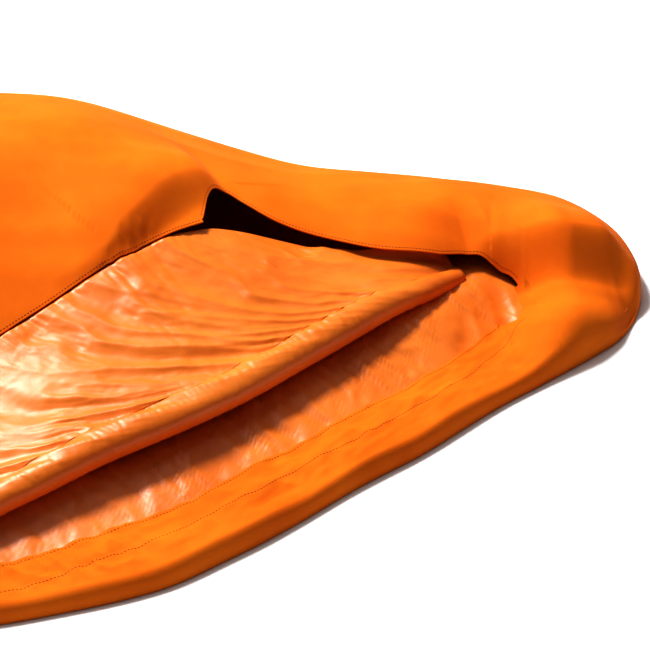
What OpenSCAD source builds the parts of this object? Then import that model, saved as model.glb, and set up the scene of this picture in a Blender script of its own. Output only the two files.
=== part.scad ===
// Bivy sack lying flat on its back: mummy-shaped bag, diagonal chest opening,
// padded draught flap that hangs from the far edge of the opening, and a hood.
// +X points at the crown, +Z up, -Y is the side of the opening. Units: millimetres.

/* [Bag] */
// Length from the foot to the crown
bag_length = 2170; // [2000:10:2300]
// Width at the shoulders
shoulder_width = 880; // [820:10:920]
// Width at the foot
foot_width = 500; // [440:10:560]
// Radius of the round crown, seen from above
crown_radius = 165; // [155:1:172]
// Radius of the two foot corners, seen from above
foot_corner = 110; // [90:5:130]

/* [Loft] */
// Height of the filled bag at the shoulders
shoulder_loft = 250; // [230:2:270]
// Height at the foot
foot_loft = 140; // [120:2:160]
// Height of the hood
hood_loft = 104; // [98:2:112]
// Height of the low rim along the near side of the opening
rim_height = 35; // [30:1:40]

/* [Opening] */
// Width of the faced band between the ground edge and the opening, at the shoulders
facing_width = 79; // [70:1:86]
// Width of the turned hem on the far edge and on the hood
hem_width = 24; // [16:1:30]
// Distance from the opening edge to the outer row of stitches on the band
outer_row = 40; // [36:1:42]

/* [Draught flap] */
// Thickness of the wadding in the flap
wadding = 7; // [5:0.5:8]
// Radius of the rolled free edge of the flap
roll_radius = 27; // [22:1:29]

/* [Fabric] */
// Thickness of one layer of fabric, coating included
cloth = 1.4; // [1:0.1:1.6]
// Free space between two layers that lie on each other
ply_gap = 0.5; // [0.4:0.1:0.6]
// Free space between two panels where they are sewn edge to edge
seam_gap = 1; // [0.6:0.1:1.4]
// Width of the tape over the perimeter seam
tape_width = 22; // [16:1:26]

/* [Hidden] */

crown_x = bag_length / 2;
foot_x = -bag_length / 2;
shoulder_half = shoulder_width / 2;
foot_half = foot_width / 2;
shell_orange = [0.98, 0.45, 0.06];
lining_orange = [0.96, 0.56, 0.20];
thread_orange = [0.80, 0.30, 0.03];
tape_orange = [0.90, 0.42, 0.10];
wadding_white = [0.93, 0.92, 0.88];

// Plan: the bag widens from the foot to the shoulders, bends in at them, and ends in a round crown
head_slope = 0.5;
crown_centre = crown_x - crown_radius;
shoulder_bend_x = crown_centre - (shoulder_half - crown_radius * norm([1, head_slope])) / head_slope;
shoulder_bend_radius = 60;
crown_tangent_x = crown_centre + crown_radius * head_slope / norm([1, head_slope]);
// Ends of the opening, measured along the bag
opening_foot_x = -220;
opening_close_x = -340;
// The far edge of the opening is straight over most of its length, through this point
far_edge_point = [275, -108];
far_edge_slope = 0.5;
far_edge_round = 60;
// Front edge of the hood, from its far corner to its near corner
hood_front = [
    [536, 30], [550, 62], [572, 80], [595, 68], [630, 46], [690, 24], [760, 0],
    [820, -8], [872, -3], [900, -20], [918, -38], [924, -66], [931, -130]
];
hood_near_x = hood_front[len(hood_front) - 1][0];
hood_far_x = hood_front[0][0];
// The lifting part of the hood lies above a slope that starts at the hood's hinge line
hinge_height = 12;
hinge_slope = 0.16;
// Flap, measured along and across the far edge: [along, reach of the roll], [along, height of the roll]
flap_reach = [[-400, 30], [-340, 62], [-200, 150], [-100, 168], [0, 175], [150, 192], [330, 187], [510, 174], [620, 165]];
flap_height = [[-400, 46], [-200, 64], [0, 88], [300, 90], [420, 84], [500, 66], [560, 52], [620, 44]];
flap_foot = -340;
flap_head = 298;
head_end_limit = 560;
// The flap starts this far from its hinge line, and its sheet stops this far from the roll
flap_root = 7;
roll_gap = 4;

function clamp01(t) = min(1, max(0, t));
function ease(t) = clamp01(t) * clamp01(t) * (3 - 2 * clamp01(t));
function mix(a, b, t) = a + (b - a) * t;
function smooth_max(a, b, k) = (a + b + sqrt((a - b) * (a - b) + k * k)) / 2;

// Smooth curve through a short table of [place, value]
function slope_at(tab, i) =
    i == 0 ? (tab[1][1] - tab[0][1]) / (tab[1][0] - tab[0][0]) :
    i == len(tab) - 1 ? (tab[i][1] - tab[i - 1][1]) / (tab[i][0] - tab[i - 1][0]) :
    (tab[i + 1][1] - tab[i - 1][1]) / (tab[i + 1][0] - tab[i - 1][0]);
function segment(tab, x, i = 0) = (i >= len(tab) - 2 || x < tab[i + 1][0]) ? i : segment(tab, x, i + 1);
function curve(tab, x) =
    let(i = segment(tab, x))
    let(h = tab[i + 1][0] - tab[i][0])
    let(t = clamp01((x - tab[i][0]) / h))
    let(t2 = t * t)
    let(t3 = t2 * t)
    (2 * t3 - 3 * t2 + 1) * tab[i][1] + (t3 - 2 * t2 + t) * h * slope_at(tab, i)
    + (3 * t2 - 2 * t3) * tab[i + 1][1] + (t3 - t2) * h * slope_at(tab, i + 1);

// Half of the width at a place along the bag
function taper(x) =
    foot_half + (shoulder_half - foot_half) * ease((x - foot_x) / 1235)
    - head_slope * (x - shoulder_bend_x + sqrt(pow(x - shoulder_bend_x, 2) + pow(shoulder_bend_radius, 2))) / 2;
function arc_reach(r, d) = sqrt(max(0, r * r - pow(max(0, r - d), 2)));
function half_width(x) = min(
    taper(x) - foot_corner + arc_reach(foot_corner, x - foot_x),
    x > crown_tangent_x ? arc_reach(crown_radius, crown_x - x) : shoulder_half
);

// Height of the crest at a place along the bag
hood_start_x = 750;
function crest(x) =
    (mix(foot_loft, shoulder_loft, ease((x - foot_x) / 1150))
        - (shoulder_loft - hood_loft) * ease((x - 290) / 470))
    * (x > hood_start_x ? pow(1 - pow((x - hood_start_x) / (crown_x - hood_start_x), 2.8), 1 / 2.8) : 1);
function arch(x, y) =
    let(q = clamp01(abs(y) / max(1, half_width(x))))
    crest(x) * pow(1 - pow(q, 2.8), 1 / 2.2);
// How far the opening has flattened the near side, from 0 to 1
function opened(x) = ease((x + 600) / 480) * (1 - ease((x - 880) / 100));
rim_fold = 22;
function near_slope_width(x) = mix(mix(560, 340, ease((x - 300) / 350)), 200, ease((x - 600) / 250));
// The faced band is narrower beside the chest and widens under the hood
function facing(x) = facing_width * mix(0.7, 1, ease((x - 220) / 180)) + 18 * ease((x - 780) / 90);
function rim(d) = rim_height * sqrt(1 - pow(1 - clamp01(d / rim_fold), 2));
function lowered(x, y) =
    let(d = y + half_width(x))
    rim(d) + max(0, arch(x, y) - rim_height) * ease((d - facing(x)) / near_slope_width(x));
// Outer surface of the bag over a point of its plan
function skin(x, y) = mix(arch(x, y), lowered(x, y), opened(x));
function on_skin(x, y) = [x, y, skin(x, y)];

// Edges of the opening
function opening_edge(x) = -half_width(x) + facing(x);
function far_edge(x) = smooth_max(
    opening_edge(x), far_edge_point[1] + far_edge_slope * (x - far_edge_point[0]), far_edge_round
);
// Width of the near band, which runs out where the opening is closed
function band_width(x) = mix(3, facing(x), ease((x - opening_close_x) / (opening_foot_x - opening_close_x)));

// The slope under the hood, and how far in from the ground edge the skin meets it
function hinge_plane(x) = hinge_height + (crown_x - x) * hinge_slope;
function meet(x, side, lo, hi, n) =
    n == 0 ? (lo + hi) / 2 :
    skin(x, side * (half_width(x) - (lo + hi) / 2)) < hinge_plane(x)
        ? meet(x, side, (lo + hi) / 2, hi, n - 1)
        : meet(x, side, lo, (lo + hi) / 2, n - 1);
function plane_inset(x, side) = meet(x, side, 0, min(120, half_width(x) * 0.9), 14);
function hood_near(x) =
    x < hood_near_x ? curve(hood_front, x) : -half_width(x) + plane_inset(x, -1) + seam_gap;
function hood_far(x) = half_width(x) - plane_inset(x, 1) - seam_gap;

// Axes of the flap: along the far edge towards the crown, and across it towards the opening
far_angle = atan(far_edge_slope);
along = [cos(far_angle), sin(far_angle)];
across = [sin(far_angle), -cos(far_angle)];
function flap_plan(a, p) = far_edge_point + a * along + p * across;
function flap_top(a) = let(q = flap_plan(a, 0)) skin(q[0], q[1]);
function roll_size(a) = roll_radius * mix(0.5, 1, ease((a - flap_foot) / 350)) * mix(1, 0.55, ease((a - 300) / 300));
function sheet_end(a) = curve(flap_reach, a) - roll_size(a) - roll_gap;
function sheet_height(a, t) =
    mix(flap_top(a) - 3, curve(flap_height, a) - roll_size(a) + 6, t) - 5 * sin(180 * t);
function flap_point(a, t, start) =
    let(p = mix(start, sheet_end(a), t))
    let(q = flap_plan(a, p))
    [q[0], q[1], sheet_height(a, t)];
function roll_centre(a) =
    let(q = flap_plan(a, curve(flap_reach, a)))
    [q[0], q[1], curve(flap_height, a) - roll_size(a)];

// A layer of cloth: a grid of points on the outer surface, and two offsets along its normals
function unit(v) = v / norm(v);
function normal(g, i, j) =
    let(a = g[min(i + 1, len(g) - 1)][j] - g[max(i - 1, 0)][j])
    let(b = g[i][min(j + 1, len(g[0]) - 1)] - g[i][max(j - 1, 0)])
    unit(cross(a, b));
function above_ground(p) = [p[0], p[1], max(0, p[2])];
function shifted(g, d) = [
    for (i = [0:len(g) - 1]) [for (j = [0:len(g[0]) - 1]) above_ground(g[i][j] + d * normal(g, i, j))]
];
function flat_list(g) = [for (row = g) for (p = row) p];

module layer(g, high, low) {
    rows = len(g);
    cols = len(g[0]);
    count = rows * cols;
    points = concat(flat_list(shifted(g, high)), flat_list(shifted(g, low)));
    above = [for (i = [0:rows - 2]) for (j = [0:cols - 2]) [i * cols + j, i * cols + j + 1, (i + 1) * cols + j]];
    above2 = [
        for (i = [0:rows - 2]) for (j = [0:cols - 2]) [i * cols + j + 1, (i + 1) * cols + j + 1, (i + 1) * cols + j]
    ];
    top = concat(above, above2);
    under = [for (f = top) [f[2] + count, f[1] + count, f[0] + count]];
    loop = concat(
        [for (j = [0:cols - 1]) j],
        [for (i = [1:rows - 1]) i * cols + cols - 1],
        [for (j = [cols - 2:-1:0]) (rows - 1) * cols + j],
        [for (i = [rows - 2:-1:1]) i * cols]
    );
    n = len(loop);
    side1 = [for (k = [0:n - 1]) [loop[k], loop[k] + count, loop[(k + 1) % n]]];
    side2 = [for (k = [0:n - 1]) [loop[(k + 1) % n], loop[k] + count, loop[(k + 1) % n] + count]];
    polyhedron(points, concat(top, under, side1, side2), convexity = 10);
}

// Depths of the plies under the outer surface: shell, hem or facing, lining
function ply(k) = -k * (cloth + ply_gap);
thread_clear = 1.2;
thread_size = 0.8;
thread_width = 1.6;

// Grid between two edges that are functions of the place along the bag; columns crowd at both edges
function spread(t) = (1 - cos(180 * t)) / 2;
function panel_grid(xs, lo, hi, cols) = [
    for (i = [0:len(xs) - 1]) [for (j = [0:cols]) on_skin(xs[i], mix(lo[i], hi[i], spread(j / cols)))]
];
function steps(a, b, n) = [for (i = [0:n]) mix(a, b, i / n)];
function reversed(v) = [for (i = [len(v) - 1:-1:0]) v[i]];
// Steps that crowd towards the far end
function crowded(a, b, n) = [for (i = [0:n]) mix(a, b, sin(90 * i / n))];

// A row of points on the skin, crowded at the ground edge where the cloth turns up
function rim_row(x, side, reach, n) = [
    for (j = [0:n]) on_skin(x, side * (half_width(x) - reach * (1 - cos(90 * j / n))))
];

// Base, with its edge just inside the foot of the shell
base_inset = 3 * cloth + 0.2;
outline_steps = 120;
function outline_x(inset, i) = mix(foot_x + inset, crown_x - inset, spread(i / outline_steps));
function outline_half(inset, side) = [
    for (i = [0:outline_steps])
        [outline_x(inset, i), side * max(0.5, half_width(outline_x(0, i)) - inset)]
];
module outline(inset) {
    polygon(concat(outline_half(inset, -1), reversed(outline_half(inset, 1))));
}

module base_panel() {
    color(shell_orange) linear_extrude(cloth) outline(base_inset);
}

tape_thickness = 0.8;
tape_inset = 8;
module perimeter_seam_tape() {
    color(tape_orange)
        translate([0, 0, cloth + ply_gap])
            linear_extrude(tape_thickness)
                difference() {
                    outline(tape_inset);
                    outline(tape_inset + tape_width);
                }
}

// The lining lies on the base and climbs to the near edge of the opening
lining_clear = cloth + tape_thickness + 3 * ply_gap;
lining_climb = 16;
lining_climb_width = 70;
lining_side_inset = 34;
function lining_near(x) = -half_width(x) + mix(lining_side_inset, facing(x) + 1, opened(x));
function lining_point(x, y) =
    [x, y, lining_clear + lining_climb * opened(x) * (1 - ease((y - lining_near(x)) / lining_climb_width))];
module base_lining() {
    xs = steps(foot_x + lining_side_inset, crown_x - 2 * lining_side_inset, 34);
    grid = [
        for (x = xs) let(lo = lining_near(x)) let(hi = half_width(x) - lining_side_inset)
            concat(
                [for (j = [0:5]) lining_point(x, lo + lining_climb_width * min(1, (hi - lo) / 200) * j / 5)],
                [lining_point(x, hi)]
            )
    ];
    color(lining_orange) layer(grid, cloth, 0);
}

// Top shell: from the ground edge on the far side to the far edge of the opening
shell_end_x = hood_far_x - 3;
shell_xs = concat(
    reversed(crowded(opening_close_x, foot_x + cloth + 0.6, 12)),
    steps(opening_close_x + 30, opening_foot_x, 3),
    steps(opening_foot_x + 38, shell_end_x, 22)
);
function shell_near(x) =
    x <= opening_close_x ? -half_width(x) :
    x < opening_foot_x ? -half_width(x) + band_width(x) + seam_gap :
    far_edge(x) + seam_gap;
function shell_grid(inset) = panel_grid(
    shell_xs,
    [for (x = shell_xs) max(shell_near(x), -half_width(x) + inset)],
    [for (x = shell_xs) half_width(x) - inset],
    18
);

module top_shell() {
    color(shell_orange) layer(shell_grid(0), 0, -cloth);
}

lining_edge = 1.5;
module top_lining() {
    color(lining_orange) layer(shell_grid(lining_edge), ply(2), ply(2) - cloth);
}

// Wall that closes the foot, sewn to the ends of the top shell and of the base
module foot_panel() {
    end_x = foot_x + cloth + 0.6;
    reach = half_width(end_x);
    profile = [for (i = [0:24]) let(y = -reach * cos(180 * i / 24)) [y, max(0.2, skin(end_x, y))]];
    color(shell_orange)
        translate([foot_x, 0, 0])
            rotate([90, 0, 90])
                linear_extrude(cloth)
                    polygon(concat(profile, [[reach, 0], [-reach, 0]]));
}

// Low side along the opening: folded rim, and the faced band up to the opening's edge
band_xs = concat(
    [opening_close_x + 12],
    steps(opening_close_x + 30, opening_foot_x, 3),
    steps(opening_foot_x + 50, hood_near_x - 3, 26)
);
function band_reach(x) =
    x < opening_foot_x ? band_width(x) :
    x < 700 ? facing(x) :
    min(facing(x), plane_inset(x, -1) - seam_gap);
module near_side_shell() {
    color(shell_orange) layer([for (x = band_xs) rim_row(x, -1, band_reach(x), 8)], 0, -cloth);
}

// Strip on the inside of the band that holds both rows of stitches
facing_xs = steps(opening_foot_x + 12, 860, 24);
function strip_grid(xs, from, to, n) = [
    for (x = xs) [for (j = [0:n]) on_skin(x, opening_edge(x) - mix(to, from, j / n))]
];
module near_facing() {
    color(shell_orange) layer(strip_grid(facing_xs, 1, outer_row + 3, 3), ply(1), ply(1) - cloth);
}

// Low strip around the crown, from the near band to the far side of the hood
crown_near_xs = concat(crowded(hood_near_x + 1, 1077, 8), [1082, crown_x - 0.6]);
crown_far_xs = concat([crown_x - 0.6, 1082], reversed(crowded(hood_far_x + 1, 1077, 16)));
function crown_row(x, side) = rim_row(x, side, plane_inset(x, side) - seam_gap, 5);
module crown_band() {
    grid = concat([for (x = crown_near_xs) crown_row(x, -1)], [for (x = crown_far_xs) crown_row(x, 1)]);
    color(shell_orange) layer(grid, 0, -cloth);
}

// Turned hem under the far edge of the opening, and the strip that the flap hangs from
hem_xs = steps(opening_foot_x + 20, shell_end_x - 2, 24);
function far_strip(from, to, n) = [
    for (x = hem_xs) [for (j = [0:n]) on_skin(x, far_edge(x) + mix(from, to, j / n))]
];
module far_hem() {
    color(shell_orange) layer(far_strip(2, hem_width, 2), ply(1), ply(1) - cloth);
}

binding_width = 18;
module flap_binding() {
    color(tape_orange) layer(far_strip(2, binding_width, 2), ply(3), ply(3) - cloth);
}

// Rows of stitches, each as one raised line of thread
stitch_inset = 4;
edge_stitch_inset = 2.4;
module inner_hem_stitching() {
    color(thread_orange)
        layer(
            strip_grid(steps(opening_foot_x + 12, 860, 48), stitch_inset, stitch_inset + thread_width, 1),
            thread_clear + thread_size, thread_clear
        );
}
module outer_hem_stitching() {
    color(thread_orange)
        layer(
            strip_grid(steps(opening_foot_x + 12, 860, 48), outer_row, outer_row + thread_width, 1),
            thread_clear + thread_size, thread_clear
        );
}
module far_hem_stitching() {
    color(thread_orange)
        layer(
            far_strip(edge_stitch_inset, edge_stitch_inset + thread_width, 1),
            thread_clear + thread_size, thread_clear
        );
}

// Flap: face, wadding and backing lie on each other; the free edge is rolled and stuffed
flap_ply = 1.2;
function flap_grid(rows, start, cap) = [
    for (a = rows) [
        for (j = [8:-1:0])
            let(p = flap_point(a, j / 8, start(a)))
            [p[0], p[1], cap ? min(p[2], skin(p[0], p[1]) - 16) : p[2]]
    ]
];
flap_rows = steps(flap_foot, flap_head, 20);
flap_front = flap_grid(flap_rows, function(a) flap_root, false);
module flap_face() {
    color(lining_orange) layer(flap_front, 0, -flap_ply);
}
module flap_wadding() {
    color(wadding_white) layer(flap_front, -flap_ply - 0.4, -flap_ply - 0.4 - wadding);
}
module flap_backing() {
    color(lining_orange) layer(flap_front, -flap_ply - 0.8 - wadding, -2 * flap_ply - 0.8 - wadding);
}

// Closed tube of round rings that stand square to the far edge
roll_sides = 16;
module roll(rows) {
    points = [
        for (a = rows) for (k = [0:roll_sides - 1])
            let(c = roll_centre(a))
            let(r = roll_size(a))
            let(t = 360 * k / roll_sides)
            [c[0] + r * cos(t) * across[0], c[1] + r * cos(t) * across[1], c[2] + r * sin(t)]
    ];
    last = (len(rows) - 1) * roll_sides;
    wall = [
        for (i = [0:len(rows) - 2]) for (k = [0:roll_sides - 1])
            let(m = (k + 1) % roll_sides)
            [
                i * roll_sides + k, i * roll_sides + m,
                (i + 1) * roll_sides + m, (i + 1) * roll_sides + k
            ]
    ];
    caps = [[for (k = [roll_sides - 1:-1:0]) k], [for (k = [0:roll_sides - 1]) last + k]];
    polyhedron(points, concat(wall, caps), convexity = 4);
}
module flap_edge_roll() {
    color(lining_orange) roll(flap_rows);
}
module flap_stitching() {
    near_roll = [
        for (a = flap_rows) [for (j = [1, 0]) flap_point(a, 0.9 + 0.012 * j, flap_root)]
    ];
    color(thread_orange) layer(near_roll, thread_clear + thread_size, thread_clear);
}

// The end of the flap under the hood stays sewn down
head_rows = steps(flap_head + 4, head_end_limit, 10);
function head_start(a) = mix(flap_root, 150, ease((a - flap_head) / (head_end_limit - flap_head)));
module flap_head_end() {
    color(lining_orange)
        layer(flap_grid(head_rows, function(a) head_start(a), true), 0, -2 * flap_ply - 0.8 - wadding);
}
module flap_head_roll() {
    color(lining_orange) roll(head_rows);
}

// Hood: the part that lifts, above the slope from its hinge line
hood_end_x = 1076;
hood_xs = concat(steps(hood_far_x, 608, 5), steps(625, 890, 10), [905, 912, 918, 924, 930], crowded(936, hood_end_x, 8));
function hood_grid(xs, inset) = panel_grid(
    xs,
    [for (x = xs) hood_near(x)],
    [for (x = xs) hood_far(x) - inset],
    14
);
module hood_shell() {
    color(shell_orange) layer(hood_grid(hood_xs, 0), 0, -cloth);
}
hood_lining_xs = concat(steps(hood_far_x + 4, 608, 5), steps(625, 890, 10), [905, 912, 918, 924, 930], crowded(936, hood_end_x - 14, 6));
module hood_lining() {
    color(lining_orange) layer(hood_grid(hood_lining_xs, 6), ply(3), ply(3) - cloth);
}
// Strips behind the front edge of the hood run back along this direction
hem_back = [0.6, 0.8];
function hood_strip(from, to) = [
    for (x = steps(hood_far_x + 30, 900, 20)) [
        for (s = [from, to]) on_skin(x + s * hem_back[0], curve(hood_front, x) + s * hem_back[1])
    ]
];
module hood_hem() {
    color(shell_orange) layer(hood_strip(0.5, hem_width), ply(1), ply(1) - cloth);
}
module hood_hem_stitching() {
    color(thread_orange)
        layer(
            hood_strip(edge_stitch_inset, edge_stitch_inset + thread_width),
            thread_clear + thread_size, thread_clear
        );
}

base_panel();
perimeter_seam_tape();
base_lining();
top_shell();
top_lining();
foot_panel();
near_side_shell();
near_facing();
crown_band();
far_hem();
flap_binding();
flap_head_end();
flap_head_roll();
inner_hem_stitching();
outer_hem_stitching();
far_hem_stitching();
flap_face();
flap_wadding();
flap_backing();
flap_edge_roll();
flap_stitching();
hood_shell();
hood_lining();
hood_hem();
hood_hem_stitching();
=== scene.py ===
"""Bivy sack: a mummy-shaped bag of matte woven nylon with a shiny lining and a padded draught flap.

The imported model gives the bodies, the overall box and the joints. This script makes every visible
layer of cloth as a closed mesh of its own, from one height function for the bag's skin.
Lengths are in metres. X runs from the foot to the crown, and the opening is on the -Y side.
"""
import math

import bpy
import numpy as np
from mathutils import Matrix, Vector


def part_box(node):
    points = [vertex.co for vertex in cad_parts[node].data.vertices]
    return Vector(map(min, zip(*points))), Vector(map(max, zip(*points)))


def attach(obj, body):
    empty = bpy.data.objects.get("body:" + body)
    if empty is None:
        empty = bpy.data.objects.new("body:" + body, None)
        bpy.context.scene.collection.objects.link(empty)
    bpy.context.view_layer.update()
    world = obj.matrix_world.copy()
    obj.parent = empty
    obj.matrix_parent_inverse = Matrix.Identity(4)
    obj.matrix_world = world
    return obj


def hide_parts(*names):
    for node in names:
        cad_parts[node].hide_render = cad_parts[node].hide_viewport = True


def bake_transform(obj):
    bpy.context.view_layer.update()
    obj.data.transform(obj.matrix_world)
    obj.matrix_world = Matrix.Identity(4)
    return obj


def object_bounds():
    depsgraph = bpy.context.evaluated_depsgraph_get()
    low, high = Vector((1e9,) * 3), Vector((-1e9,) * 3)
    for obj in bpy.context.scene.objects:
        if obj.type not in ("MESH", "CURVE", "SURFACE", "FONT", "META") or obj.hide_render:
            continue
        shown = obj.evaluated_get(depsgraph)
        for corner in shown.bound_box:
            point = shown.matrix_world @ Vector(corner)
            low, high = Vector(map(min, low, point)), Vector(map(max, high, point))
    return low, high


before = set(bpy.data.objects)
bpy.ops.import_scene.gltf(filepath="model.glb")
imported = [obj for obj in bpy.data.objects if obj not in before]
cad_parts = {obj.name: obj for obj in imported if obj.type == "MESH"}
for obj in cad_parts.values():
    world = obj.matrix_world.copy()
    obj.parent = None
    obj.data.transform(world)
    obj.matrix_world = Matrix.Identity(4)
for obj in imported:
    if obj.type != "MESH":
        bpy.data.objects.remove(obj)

CAD_LOW, CAD_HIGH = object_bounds()

# ---------------------------------------------------------------- sizes of the bag
FOOT_X = CAD_LOW.x
CROWN_X = -FOOT_X
SHOULDER_HALF = 0.440
FOOT_HALF = 0.250
FOOT_CORNER = 0.110
CROWN_RADIUS = 0.165
CROWN_CENTRE = CROWN_X - CROWN_RADIUS
HEAD_SLOPE = 0.5
CROWN_TANGENT_X = CROWN_CENTRE + CROWN_RADIUS * HEAD_SLOPE / math.hypot(1, HEAD_SLOPE)
SHOULDER_BEND_X = CROWN_CENTRE - (SHOULDER_HALF - CROWN_RADIUS * math.hypot(1, HEAD_SLOPE)) / HEAD_SLOPE
SHOULDER_BEND_RADIUS = 0.060
FOOT_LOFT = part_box("foot_panel")[1].z
SHOULDER_LOFT = 0.250
HOOD_LOFT = 0.104
HOOD_START_X = 0.750
RIM_HEIGHT = 0.025
RIM_FOLD = 0.013
FACING_WIDTH = 0.0900
HEM_WIDTH = 0.024
OUTER_ROW = 0.040
OPEN_FOOT_X = -0.220
OPEN_CLOSE_X = -0.340
HOOD_SEAM_X = 0.536
CORNER_X = 0.918
BAND_SEAM_X = 0.931
BAND_TURN_X = 0.866
CROWN_GAP = 2e-5
FAR_POINT = (0.275, -0.108)
FAR_SLOPE = 0.5
FAR_ROUND = 0.060
HOOD_FRONT = (
    (0.536, 0.030), (0.550, 0.062), (0.572, 0.080), (0.595, 0.068), (0.630, 0.046), (0.690, 0.024),
    (0.760, 0.000), (0.820, -0.008), (0.872, -0.003), (0.900, -0.020), (0.918, -0.038), (0.924, -0.070),
    (0.931, -0.1687),
)
HINGE_HEIGHT = 0.012
HINGE_SLOPE = 0.16

SHELL_CLOTH = 0.0007
LINING_CLOTH = 0.0005
LIP_RADIUS = 0.0011
EDGE_STITCH = 0.0024
INNER_STITCH = 0.004
LINING_DEPTH = 0.0038
BASE_CLOTH = 0.0012
TAPE_CLOTH = 0.0005
TAPE_HEIGHT = 0.0026
GUSSET_DEPTH = 0.0058


# ---------------------------------------------------------------- small maths
def ease(t):
    t = np.clip(t, 0, 1)
    return t * t * (3 - 2 * t)


def mix(a, b, t):
    return a + (b - a) * t


def smooth_max(a, b, k):
    return (a + b + np.sqrt((a - b) ** 2 + k * k)) / 2


def window(x, start, end, fade):
    """1 between start and end, 0 outside, with soft ends."""
    return ease((x - start) / fade) * ease((end - x) / fade)


def curve(table, x):
    """Smooth curve through a short table of (place, value)."""
    px, py = np.array(table, float).T
    slope = np.gradient(py, px) if len(px) > 2 else np.full(2, (py[1] - py[0]) / (px[1] - px[0]))
    slope[1:-1] = (py[2:] - py[:-2]) / (px[2:] - px[:-2])
    x = np.asarray(x, float)
    i = np.clip(np.searchsorted(px, x, side="right") - 1, 0, len(px) - 2)
    h = px[i + 1] - px[i]
    t = np.clip((x - px[i]) / h, 0, 1)
    return (
        (2 * t**3 - 3 * t**2 + 1) * py[i] + (t**3 - 2 * t**2 + t) * h * slope[i]
        + (3 * t**2 - 2 * t**3) * py[i + 1] + (t**3 - t**2) * h * slope[i + 1]
    )


def lattice(ix, iy, seed):
    """A fixed pseudo-random angle for each point of an integer lattice."""
    h = (ix.astype(np.int64) * 374761393 + iy.astype(np.int64) * 668265263 + seed * 974634777) & 0x7FFFFFFF
    h = ((h ^ (h >> 13)) * 1274126177) & 0x7FFFFFFF
    return (h ^ (h >> 16)) % 4096 * (2 * np.pi / 4096)


def noise(x, y, seed=0):
    """Gradient noise from about -1 to 1."""
    x, y = np.broadcast_arrays(np.asarray(x, float), np.asarray(y, float))
    ix, iy = np.floor(x), np.floor(y)
    fx, fy = x - ix, y - iy
    u, v = fx**3 * (fx * (6 * fx - 15) + 10), fy**3 * (fy * (6 * fy - 15) + 10)
    total = 0
    for dx in (0, 1):
        for dy in (0, 1):
            angle = lattice(ix + dx, iy + dy, seed)
            dot = np.cos(angle) * (fx - dx) + np.sin(angle) * (fy - dy)
            total = total + dot * (u if dx else 1 - u) * (v if dy else 1 - v)
    return total * 1.5


def cloud(x, y, octaves=3, seed=0):
    return sum(noise(x * 2**k, y * 2**k, seed + k) / 2**k for k in range(octaves))


def ridges(u, v, seed=0):
    """Sharp crests with soft valleys, long along u."""
    return 1 - 2.2 * np.abs(noise(u, v, seed))


def near_path(x, y, path):
    """Share along a path of points, and signed distance from it (positive to its left)."""
    path = np.array(path, float)
    steps = np.diff(path, axis=0)
    length = np.hypot(*steps.T)
    start = np.concatenate([[0], np.cumsum(length)])
    best = np.full(np.shape(x), 1e9)
    share, side = np.zeros(np.shape(x)), np.zeros(np.shape(x))
    for k, (p, d, n) in enumerate(zip(path, steps, length)):
        rx, ry = x - p[0], y - p[1]
        t = np.clip((rx * d[0] + ry * d[1]) / n**2, 0, 1)
        dx, dy = rx - t * d[0], ry - t * d[1]
        dist = np.hypot(dx, dy)
        cross = (d[0] * ry - d[1] * rx) / n
        closer = dist < best
        best = np.where(closer, dist, best)
        share = np.where(closer, (start[k] + t * n) / start[-1], share)
        side = np.where(closer, np.sign(cross) * dist, side)
    return share, side


# ---------------------------------------------------------------- the bag's skin
def arc_reach(r, d):
    return np.sqrt(np.maximum(0, r * r - np.maximum(0, r - d) ** 2))


def half_width(x):
    bend = x - SHOULDER_BEND_X
    taper = (
        FOOT_HALF + (SHOULDER_HALF - FOOT_HALF) * ease((x - FOOT_X) / 1.235)
        - HEAD_SLOPE * (bend + np.sqrt(bend**2 + SHOULDER_BEND_RADIUS**2)) / 2
    )
    crown = np.where(x > CROWN_TANGENT_X, arc_reach(CROWN_RADIUS, CROWN_X - x), SHOULDER_HALF)
    return np.minimum(taper - FOOT_CORNER + arc_reach(FOOT_CORNER, x - FOOT_X), crown)


def crest(x):
    rise = mix(FOOT_LOFT, SHOULDER_LOFT, ease((x - FOOT_X) / 1.150))
    drop = (SHOULDER_LOFT - HOOD_LOFT) * ease((x - 0.290) / 0.470)
    u = np.clip((x - HOOD_START_X) / (CROWN_X - HOOD_START_X), 0, 1)
    return (rise - drop) * (1 - u**2.8) ** (1 / 2.8)


def arch(x, y):
    q = np.clip(np.abs(y) / np.maximum(0.001, half_width(x)), 0, 1)
    return crest(x) * (1 - q**2.8) ** (1 / 2.2)


def opened(x):
    return ease((x + 0.600) / 0.480) * (1 - ease((x - 0.880) / 0.100))


def facing(x):
    return FACING_WIDTH * mix(0.7, 1, ease((x - 0.220) / 0.180)) + 0.018 * ease((x - 0.780) / 0.090)


def rim(d):
    return RIM_HEIGHT * np.sqrt(1 - (1 - np.clip(d / RIM_FOLD, 0, 1)) ** 2)


def skin(x, y):
    """Smooth outer surface of the bag over a point of its plan."""
    d = y + half_width(x)
    slope_width = mix(mix(0.560, 0.340, ease((x - 0.300) / 0.350)), 0.200, ease((x - 0.600) / 0.250))
    rise = np.maximum(0, arch(x, y) - RIM_HEIGHT) * ease((d - facing(x)) / slope_width)
    lowered = np.minimum(rim(d), arch(x, y)) + rise
    return mix(arch(x, y), lowered, opened(x))


def plane_inset(x, side):
    """How far in from the ground edge the skin meets the slope under the hood."""
    lo, hi = np.zeros_like(x), np.minimum(0.120, half_width(x) * 0.9)
    for _ in range(20):
        middle = (lo + hi) / 2
        below = skin(x, side * (half_width(x) - middle)) < HINGE_HEIGHT + (CROWN_X - x) * HINGE_SLOPE
        lo, hi = np.where(below, middle, lo), np.where(below, hi, middle)
    return (lo + hi) / 2


def opening_edge(x):
    return -half_width(x) + facing(x)


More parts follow.
